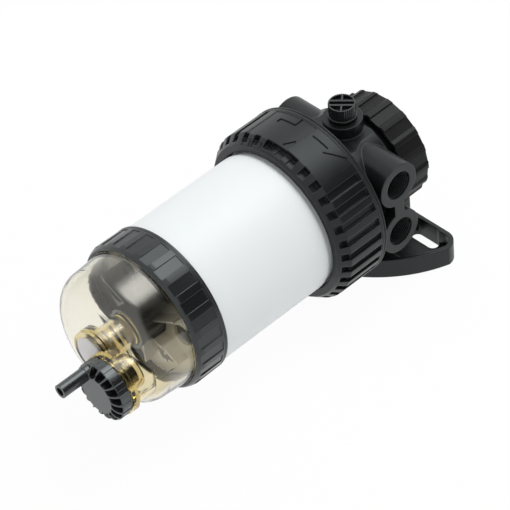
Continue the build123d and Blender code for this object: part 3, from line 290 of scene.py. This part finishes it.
# Grain: a fine noise for its height, and a broad one for the patches
grain, g_in, g_out = new_group(
    "moulding grain", (("Size", 900.0),), (("Height", FLOAT), ("Patches", FLOAT)))
place = on_piece(grain)
for label, scale, detail in (("Height", g_in.outputs["Size"], 3), ("Patches", PATCH_SCALE, 4)):
    noise = grain.nodes.new("ShaderNodeTexNoise")
    noise.inputs["Detail"].default_value = detail
    feed(grain, noise.inputs["Scale"], scale)
    grain.links.new(place, noise.inputs["Vector"])
    grain.links.new(noise.outputs["Fac"], g_out.inputs[label])

# Rounded edges: the bevelled normal, and how far it leans from the flat one
edges, e_in, e_out = new_group(
    "rounded edges", (("Radius", 0.0006),), (("Normal", VECTOR), ("Edge", FLOAT)))
bevel = edges.nodes.new("ShaderNodeBevel")
bevel.samples = 6
edges.links.new(e_in.outputs["Radius"], bevel.inputs["Radius"])
flat_normal = edges.nodes.new("ShaderNodeNewGeometry").outputs["Normal"]
lean = vectors(edges, "DOT_PRODUCT", bevel.outputs["Normal"], flat_normal)
edges.links.new(bevel.outputs["Normal"], e_out.inputs["Normal"])
edges.links.new(ramp(edges, lean, EDGE_SPAN), e_out.inputs["Edge"])

# Reach: how far a point lies from an upright axis at X, Y
reach, r_in, r_out = new_group(
    "reach from an axis", (("X", 0.0), ("Y", 0.0)), (("Distance", FLOAT),))
axis_at = reach.nodes.new("ShaderNodeCombineXYZ")
for label in ("X", "Y"):
    reach.links.new(r_in.outputs[label], axis_at.inputs[label])
apart = vectors(reach, "SUBTRACT", on_piece(reach), axis_at.outputs["Vector"])
level_part = vectors(reach, "MULTIPLY", apart, (1, 1, 0))
reach.links.new(vectors(reach, "LENGTH", level_part), r_out.inputs["Distance"])
print("groups", [group.name for group in bpy.data.node_groups])

# %% [markdown]
# One recipe makes every moulded plastic. The colour shifts a little in broad patches, is paler
# along the edges, partly as wear and partly as a painted highlight, and the roughness follows the
# same patches. Only the amounts differ between the grained black housing, the satin black fittings
# and the white can.
# Most of the black ones mirror the studio in a slightly cool tone.

# %% Moulded plastics
PATCH_SPAN = (0.3, 0.7)
GRAIN_DEPTH = 0.0004
GLOSSIER, DULLER = 0.04, 0.06
COOL = (0.92, 1.0, 1.02)


def put_group(tree, group, **values):
    """Group node in a material, with its own values."""
    node = tree.nodes.new("ShaderNodeGroup")
    node.node_tree = group
    for label, value in values.items():
        node.inputs[label].default_value = value
    return node


def new_material(name):
    """New material, with its node tree and its shader."""
    material = bpy.data.materials.new(name)
    material.use_nodes = True
    return material, material.node_tree, material.node_tree.nodes["Principled BSDF"]


def mixed(tree, share, first, second):
    """Colour between two others, at a share from 0 to 1 of the second."""
    node = tree.nodes.new("ShaderNodeMix")
    node.data_type = "RGBA"
    feed(tree, node.inputs["A"], first)
    feed(tree, node.inputs["B"], second)
    tree.links.new(share, node.inputs["Factor"])
    return node.outputs["Result"]


def moulded(name, colour, pale, rough, bump=0.02, radius=0.0006, edge_wear_and_highlight=0.35, size=900.0,
            ior=1.5, patchy=0.35, shine=(1, 1, 1)):
    """Moulded plastic: base colour, its paler shade, roughness, grain depth and edge radius.

    edge_wear_and_highlight is how much of the paler shade the edges show, as wear and painted
    highlight, and patchy how much the patches show.
    size is the grain's scale, and shine the tint of what the surface mirrors.
    """
    material, tree, shader = new_material(name)
    shader.inputs["IOR"].default_value = ior
    shader.inputs["Specular Tint"].default_value = (*shine, 1)
    texture = put_group(tree, grain, Size=size)
    edge = put_group(tree, edges, Radius=radius)
    patches = ramp(tree, texture.outputs["Patches"], PATCH_SPAN, (0, patchy))
    # Painted highlight, with some wear: the edges take the paler shade.
    edge_wear_and_highlight_share = maths(tree, "MULTIPLY", edge.outputs["Edge"], edge_wear_and_highlight)
    paler = maths(tree, "MAXIMUM", patches, edge_wear_and_highlight_share)
    tree.links.new(mixed(tree, paler, (*colour, 1), (*pale, 1)), shader.inputs["Base Color"])
    gloss = ramp(tree, texture.outputs["Patches"], PATCH_SPAN, (rough - GLOSSIER, rough + DULLER))
    tree.links.new(gloss, shader.inputs["Roughness"])
    relief = tree.nodes.new("ShaderNodeBump")
    relief.inputs["Strength"].default_value = bump
    relief.inputs["Distance"].default_value = GRAIN_DEPTH
    tree.links.new(texture.outputs["Height"], relief.inputs["Height"])
    tree.links.new(edge.outputs["Normal"], relief.inputs["Normal"])
    tree.links.new(relief.outputs["Normal"], shader.inputs["Normal"])
    return material


# The black finishes have a paler shade many times their base colour, so their edges carry a painted
# highlight as well as wear.
housing_black = moulded(
    "housing black", (0.0055, 0.0058, 0.0062), (0.050, 0.052, 0.054), 0.33, bump=0.10,
    radius=0.0013, edge_wear_and_highlight=0.6, ior=1.40, patchy=0.12, shine=COOL)
collar_black = moulded(
    "collar black", (0.0055, 0.0058, 0.0062), (0.048, 0.0495, 0.051), 0.25, bump=0.08,
    edge_wear_and_highlight=0.6, ior=1.58, patchy=0.12, shine=COOL)
# The raised marks are painted darker and duller than the collar: painted shade for the thin shadows
# along their sides.
mark_black_painted_shade = moulded(
    "mark painted shade", (0.003, 0.003, 0.003), (0.007, 0.007, 0.007), 0.55, bump=0.05,
    edge_wear_and_highlight=0.15, ior=1.3)
knob_black = moulded(
    "knob black", (0.0062, 0.0059, 0.0056), (0.054, 0.051, 0.048), 0.42, bump=0.10,
    edge_wear_and_highlight=0.6, ior=1.30, patchy=0.12, shine=COOL)
satin_black = moulded(
    "satin black", (0.0062, 0.0062, 0.0065), (0.051, 0.051, 0.052), 0.25, bump=0.05,
    edge_wear_and_highlight=0.6, ior=1.65, patchy=0.12, shine=COOL)
drain_black = moulded(
    "drain black", (0.0075, 0.0075, 0.0078), (0.055, 0.055, 0.056), 0.22, bump=0.30,
    edge_wear_and_highlight=0.6, size=260.0, ior=1.80, patchy=0.25, shine=COOL)
can_white = moulded(
    "can white", (0.80, 0.835, 0.845), (0.825, 0.86, 0.865), 0.46, edge_wear_and_highlight=0.0, ior=1.42)
port_grey = moulded("plug grey", (0.80, 0.77, 0.77), (0.84, 0.82, 0.82), 0.42, bump=0.05)
inner_white = moulded(
    "inner white", (0.74, 0.74, 0.71), (0.80, 0.80, 0.78), 0.5, bump=0.05, edge_wear_and_highlight=0.1)
seal_black = moulded(
    "seal rubber", (0.012, 0.012, 0.012), (0.030, 0.030, 0.030), 0.6, bump=0.15, size=1500.0)
print("moulded finishes", len(bpy.data.materials))

# %% [markdown]
# The bowl is a clear moulding with a warm amber tint. The tint comes from the depth of plastic
# that the light crosses: thin walls look almost clear, and the thick drain flange looks gold.
# A volume that absorbs blue most gives exactly that. The sensor and drain bosses are made of
# thick plastic all round, so their skin has a golden tint as well.

# %% Clear bowl
BOWL_IOR = 1.56
BOWL_GRAIN = 320.0
BOWL_HAZE = (0.02, 0.07)
CLEAREST, CLOUDIEST = (1.0, 0.995, 0.985, 1), (0.985, 0.975, 0.95, 1)
GOLDEN = (0.90, 0.82, 0.62, 1)
AMBER = (0.76, 0.67, 0.20, 1)
AMBER_DENSITY = 48
DRAIN_AT = (0.0272, AXIS_Y + 0.0038)
DRAIN_REACH = 0.0235
SENSOR_REACH = 0.0175


def within(tree, x, y, rim):
    """Mask of the points nearer than rim to an upright axis at x, y."""
    distance = put_group(tree, reach, X=x, Y=y).outputs["Distance"]
    return maths(tree, "LESS_THAN", distance, rim)


bowl_clear, tree, shader = new_material("bowl clear amber")
shader.inputs["Metallic"].default_value = 0
shader.inputs["Transmission Weight"].default_value = 1
shader.inputs["IOR"].default_value = BOWL_IOR
patches = put_group(tree, grain, Size=BOWL_GRAIN).outputs["Patches"]
bosses = maths(tree, "MAXIMUM", within(tree, *DRAIN_AT, DRAIN_REACH),
               within(tree, 0, AXIS_Y, SENSOR_REACH))
skin = mixed(tree, bosses, mixed(tree, patches, CLEAREST, CLOUDIEST), GOLDEN)
tree.links.new(skin, shader.inputs["Base Color"])
tree.links.new(ramp(tree, patches, (0, 1), BOWL_HAZE), shader.inputs["Roughness"])
depth = tree.nodes.new("ShaderNodeVolumeAbsorption")
depth.inputs["Color"].default_value = AMBER
depth.inputs["Density"].default_value = AMBER_DENSITY
tree.links.new(depth.outputs[0], tree.nodes["Material Output"].inputs["Volume"])
print("bowl tint density", AMBER_DENSITY)

# %% [markdown]
# The cartridge's base plate is dark plastic, with painted light: its colour is painted paler on the
# side towards the table, where the real plate catches the light. The water tube in its middle stays
# dark. Two masks from the place on the piece do this: how far it lies towards the table side, and
# how far from the filter's axis.

# %% Base plate with painted light
TABLE_SIDE = Vector((0.82, 0.57, 0))
TABLE_FADE = 0.034
TUBE_OUT = 0.0165
# Colour of the painted light on the plate's table side.
PAINTED_LIGHT_PALE = (0.93, 0.89, 0.77, 1)

base_plate_painted_light = moulded(
    "base plate painted light", (0.020, 0.020, 0.019), (0.030, 0.030, 0.028), 0.16, bump=0.03, ior=1.75)
tree = base_plate_painted_light.node_tree
shader = tree.nodes["Principled BSDF"]
dark = shader.inputs["Base Color"].links[0].from_socket
from_axis = put_group(tree, reach, X=0.0, Y=AXIS_Y).outputs["Distance"]
off_tube = maths(tree, "GREATER_THAN", from_axis, TUBE_OUT)
axis_side = TABLE_SIDE.y * AXIS_Y
towards = vectors(tree, "DOT_PRODUCT", on_piece(tree), TABLE_SIDE)
table_side = ramp(tree, towards, (axis_side, axis_side + TABLE_FADE), smooth=True)
lit_part = maths(tree, "MULTIPLY", table_side, off_tube)
# Painted light: the plate's colour turns paler towards the table side, away from the tube.
tree.links.new(mixed(tree, lit_part, dark, PAINTED_LIGHT_PALE), shader.inputs["Base Color"])
print("plate is paler beyond", TUBE_OUT, "from the axis")

# %% [markdown]
# Inside are a steel spring and screw, a turned brass rod and the pleated paper. None shows in
# the picture, but each has its own finish for when the parts are looked at one by one.
# A noise that is squeezed along Z becomes thin level rings, as a lathe leaves them on metal.

# %% Metals and paper
ACROSS_RINGS = 60
DARK_RING = 0.85
BRIGHTER, BLUNTER = 0.08, 0.12
PAPER_GRAIN = 700.0
NAP_DEPTH = 0.0003


def metal(name, colour, rough, rings):
    """Turned or drawn metal with rings of uneven gloss, about so many to the metre."""
    material, tree, shader = new_material(name)
    shader.inputs["Metallic"].default_value = 1
    squeeze = tree.nodes.new("ShaderNodeMapping")
    squeeze.inputs["Scale"].default_value = (ACROSS_RINGS, ACROSS_RINGS, rings)
    tree.links.new(on_piece(tree), squeeze.inputs["Vector"])
    noise = tree.nodes.new("ShaderNodeTexNoise")
    noise.inputs["Scale"].default_value = 1
    noise.inputs["Detail"].default_value = 3
    tree.links.new(squeeze.outputs["Vector"], noise.inputs["Vector"])
    darker = (*[part * DARK_RING for part in colour], 1)
    shade = mixed(tree, noise.outputs["Fac"], darker, (*colour, 1))
    tree.links.new(shade, shader.inputs["Base Color"])
    gloss = ramp(tree, noise.outputs["Fac"], (0, 1), (rough - BRIGHTER, rough + BLUNTER))
    tree.links.new(gloss, shader.inputs["Roughness"])
    return material


steel = metal("drawn steel", (0.62, 0.62, 0.63), 0.32, 3000)
brass = metal("turned brass", (0.78, 0.62, 0.32), 0.28, 4000)

filter_paper, tree, shader = new_material("filter paper")
shader.inputs["Roughness"].default_value = 0.9
fibre = put_group(tree, grain, Size=PAPER_GRAIN).outputs["Height"]
tone = mixed(tree, fibre, (0.70, 0.62, 0.42, 1), (0.82, 0.76, 0.58, 1))
tree.links.new(tone, shader.inputs["Base Color"])
nap = tree.nodes.new("ShaderNodeBump")
nap.inputs["Strength"].default_value = 0.3
nap.inputs["Distance"].default_value = NAP_DEPTH
tree.links.new(fibre, nap.inputs["Height"])
tree.links.new(nap.outputs["Normal"], shader.inputs["Normal"])
print("inner finishes ready")

# %% [markdown]
# Each CAD solid now gets its finish. The list says which piece is made of what.

# %% Finishes on the CAD solids
finish_of = {
    "head": housing_black, "upper_collar": housing_black, "lower_collar": collar_black,
    "pump_knob": knob_black, "bleed_screw": satin_black, "drain_knob": drain_black,
    "cartridge_can": can_white, "bowl": bowl_clear, "cartridge_base": base_plate_painted_light,
    "sensor_plug": port_grey, "sensor_plug_seal": seal_black, "pump_cover": satin_black,
    "rod_seal": seal_black, "pump_rod": brass, "pump_piston": inner_white,
    "piston_seal": seal_black, "pump_spring": steel, "pump_inlet_valve": seal_black,
    "pump_outlet_valve": seal_black, "knob_screw": steel, "bleed_seal": seal_black,
    "cartridge_seal": seal_black, "cartridge_top_plate": inner_white, "nipple_seal": seal_black,
    "filter_media": filter_paper, "media_top_cap": inner_white, "media_bottom_cap": inner_white,
    "centre_tube": inner_white, "bowl_seal": seal_black, "drain_seal": seal_black,
}
for name, solid in nodes.items():
    solid.data.materials.clear()
    solid.data.materials.append(finish_of[name])
print("solids with a finish", len(finish_of))

# %% [markdown]
# Each port is tapped. The CAD bore is smooth, so the thread is a separate ridge that winds along
# the bore. A triangle is placed on the bore's wall and carried round by a Screw modifier, which
# makes all the turns in one step. A pattern in the material would leave the bore's edge smooth.

# %% Port threads
PORT_R = 0.011
PORT_Z = level(66.5)
PORT_SPREAD = 0.0215
PORT_RIGHT = 0.056
PORT_LEFT = -0.052
THREAD_PITCH = 0.0015
THREAD_TURNS = 9
THREAD_STEPS = 40
THREAD_DEEP = 0.0009
SET_BACK_TURNS = 1.2
RIDGE_HALF = 0.42 * THREAD_PITCH
RIDGE_ROOT = PORT_R + 0.00012


def port_thread(name, mouth_x, y, out):
    """Thread ridge in a port whose mouth is at mouth_x and faces out (1 right, -1 left)."""
    bpy.ops.object.select_all(action="DESELECT")
    bpy.ops.mesh.primitive_circle_add(vertices=3, radius=RIDGE_HALF, fill_type="NGON")
    ridge = bpy.context.object
    ridge.name = name
    start = mouth_x - out * (THREAD_TURNS + SET_BACK_TURNS) * THREAD_PITCH
    corners = ((-RIDGE_HALF, RIDGE_ROOT), (0, RIDGE_ROOT - THREAD_DEEP), (RIDGE_HALF, RIDGE_ROOT))
    for vertex, (along, from_axis) in zip(ridge.data.vertices, corners):
        vertex.co = (along, 0, from_axis)
    wind = ridge.modifiers.new("wind", "SCREW")
    wind.axis = "X"
    wind.angle = 2 * pi
    wind.screw_offset = out * THREAD_PITCH
    wind.iterations = THREAD_TURNS
    wind.steps = THREAD_STEPS
    wind.render_steps = THREAD_STEPS
    wind.use_merge_vertices = True
    wind.use_normal_calculate = True
    bpy.ops.object.modifier_apply(modifier=wind.name)
    bpy.ops.object.mode_set(mode="EDIT")
    bpy.ops.mesh.select_all(action="SELECT")
    bpy.ops.transform.translate(value=(start, AXIS_Y + y, PORT_Z))
    bpy.ops.mesh.normals_make_consistent(inside=False)
    bpy.ops.object.mode_set(mode="OBJECT")
    bpy.ops.object.shade_smooth_by_angle(angle=radians(30))
    ridge.data.materials.append(housing_black)
    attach(ridge, "housing")
    return ridge


for tag, mouth_x, y, out in (
        ("right_front", PORT_RIGHT, -PORT_SPREAD, 1), ("right_rear", PORT_RIGHT, PORT_SPREAD, 1),
        ("left_front", PORT_LEFT, -PORT_SPREAD, -1), ("left_rear", PORT_LEFT, PORT_SPREAD, -1)):
    ridge = port_thread("port_thread_" + tag, mouth_x, y, out)
    print(ridge.name, len(ridge.data.polygons), "faces")

# %% [markdown]
# The smooth panels of the upper collar carry thin raised lines: a bracket-shaped mark, a few
# plain strokes, and two small frames on the lower chamfer. Each stroke is a flat strip that is
# drawn on the unrolled collar, wrapped on its skin and thickened outwards, so that it follows the
# round wall at an even height. The left panel lies a little below the collar's wall, and the
# right one above it.

# %% Raised marks on the upper collar
COLLAR_R = 66.8
CHAMFER_TOP = 8.0
CHAMFER_LOW_R = 61.0
LEFT_SUNK = 0.5
RIGHT_SUNK = -0.2
MARK_WIDE, MARK_PROUD = 0.7, 0.55
FRAME_WIDE, FRAME_PROUD = 0.4, 0.25
ROOTED = 0.05
STROKE_STEPS = 12


def collar_skin(height, sunk):
    """Radius in mm of the collar's skin at a height, on the wall or on the lower chamfer."""
    if height >= CHAMFER_TOP:
        return COLLAR_R - sunk
    return CHAMFER_LOW_R + (COLLAR_R - CHAMFER_LOW_R) * height / CHAMFER_TOP - sunk


def stroke(start, end, wide, proud, sunk):
    """One raised strip on the collar between two (angle, height) points, in degrees and mm."""
    bpy.ops.object.select_all(action="DESELECT")
    bpy.ops.mesh.primitive_grid_add(x_subdivisions=STROKE_STEPS, y_subdivisions=1, size=1)
    strip = bpy.context.object
    arc = radians(1) * COLLAR_R
    begin = Vector((start[0] * arc, start[1]))
    run = Vector((end[0] * arc, end[1])) - begin
    across = Vector((-run.y, run.x)).normalized() * wide
    along = run.normalized() * wide / 2
    for vertex in strip.data.vertices:
        share = vertex.co.x + 0.5
        flat = begin - along + (run + 2 * along) * share + across * vertex.co.y
        radius = collar_skin(flat.y, sunk) - ROOTED
        angle = radians(flat.x / arc)
        vertex.co = (radius * cos(angle) / 1000, AXIS_Y + radius * sin(angle) / 1000, level(flat.y))
    bpy.ops.object.mode_set(mode="EDIT")
    bpy.ops.mesh.select_all(action="SELECT")
    middle = strip.data.polygons[0]
    outward = Vector((middle.center.x, middle.center.y - AXIS_Y, 0))
    if middle.normal.dot(outward) < 0:
        bpy.ops.mesh.flip_normals()
    bpy.ops.object.mode_set(mode="OBJECT")
    wall = strip.modifiers.new("wall", "SOLIDIFY")
    wall.thickness = (proud + ROOTED) / 1000
    wall.offset = 1
    bpy.ops.object.modifier_apply(modifier=wall.name)
    return strip


def raised_lines(name, paths, wide=MARK_WIDE, proud=MARK_PROUD, sunk=0.0):
    """Raised strokes along paths of (angle, height) corners, joined into one piece."""
    strips = []
    for path in paths:
        for start, end in zip(path, path[1:]):
            strips.append(stroke(start, end, wide, proud, sunk))
    bpy.ops.object.select_all(action="DESELECT")
    for strip in strips:
        strip.select_set(True)
    bpy.context.view_layer.objects.active = strips[0]
    bpy.ops.object.join()
    piece = bpy.context.object
    piece.name = name
    # The marks take the darker finish, which is painted shade.
    piece.data.materials.append(mark_black_painted_shade)
    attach(piece, "upper_lock")
    print(name, len(piece.data.polygons), "faces")


raised_lines("collar_marks_left", [
    [(-106.1, 27.3), (-106.0, 30.3), (-93.6, 30.2), (-93.6, 37.4)],
    [(-86.7, 11.0), (-83.2, 18.6)]], sunk=LEFT_SUNK)
raised_lines("collar_window_frames", [
    [(-116.6, 0.4), (-116.6, 4.5), (-109.7, 4.5), (-109.7, 0.4)],
    [(-107.1, 0.4), (-107.1, 4.5), (-99.4, 4.5), (-99.4, 2.4)]],
    wide=FRAME_WIDE, proud=FRAME_PROUD)
raised_lines("collar_marks_right", [
    [(-78.8, 30.5), (-67.4, 31.0)], [(-66.8, 26.3), (-56.0, 37.1)]], sunk=RIGHT_SUNK)

# %% [markdown]
# Last, the colour view is set to Standard.

# %% View transform
bpy.context.scene.view_settings.view_transform = "Standard"
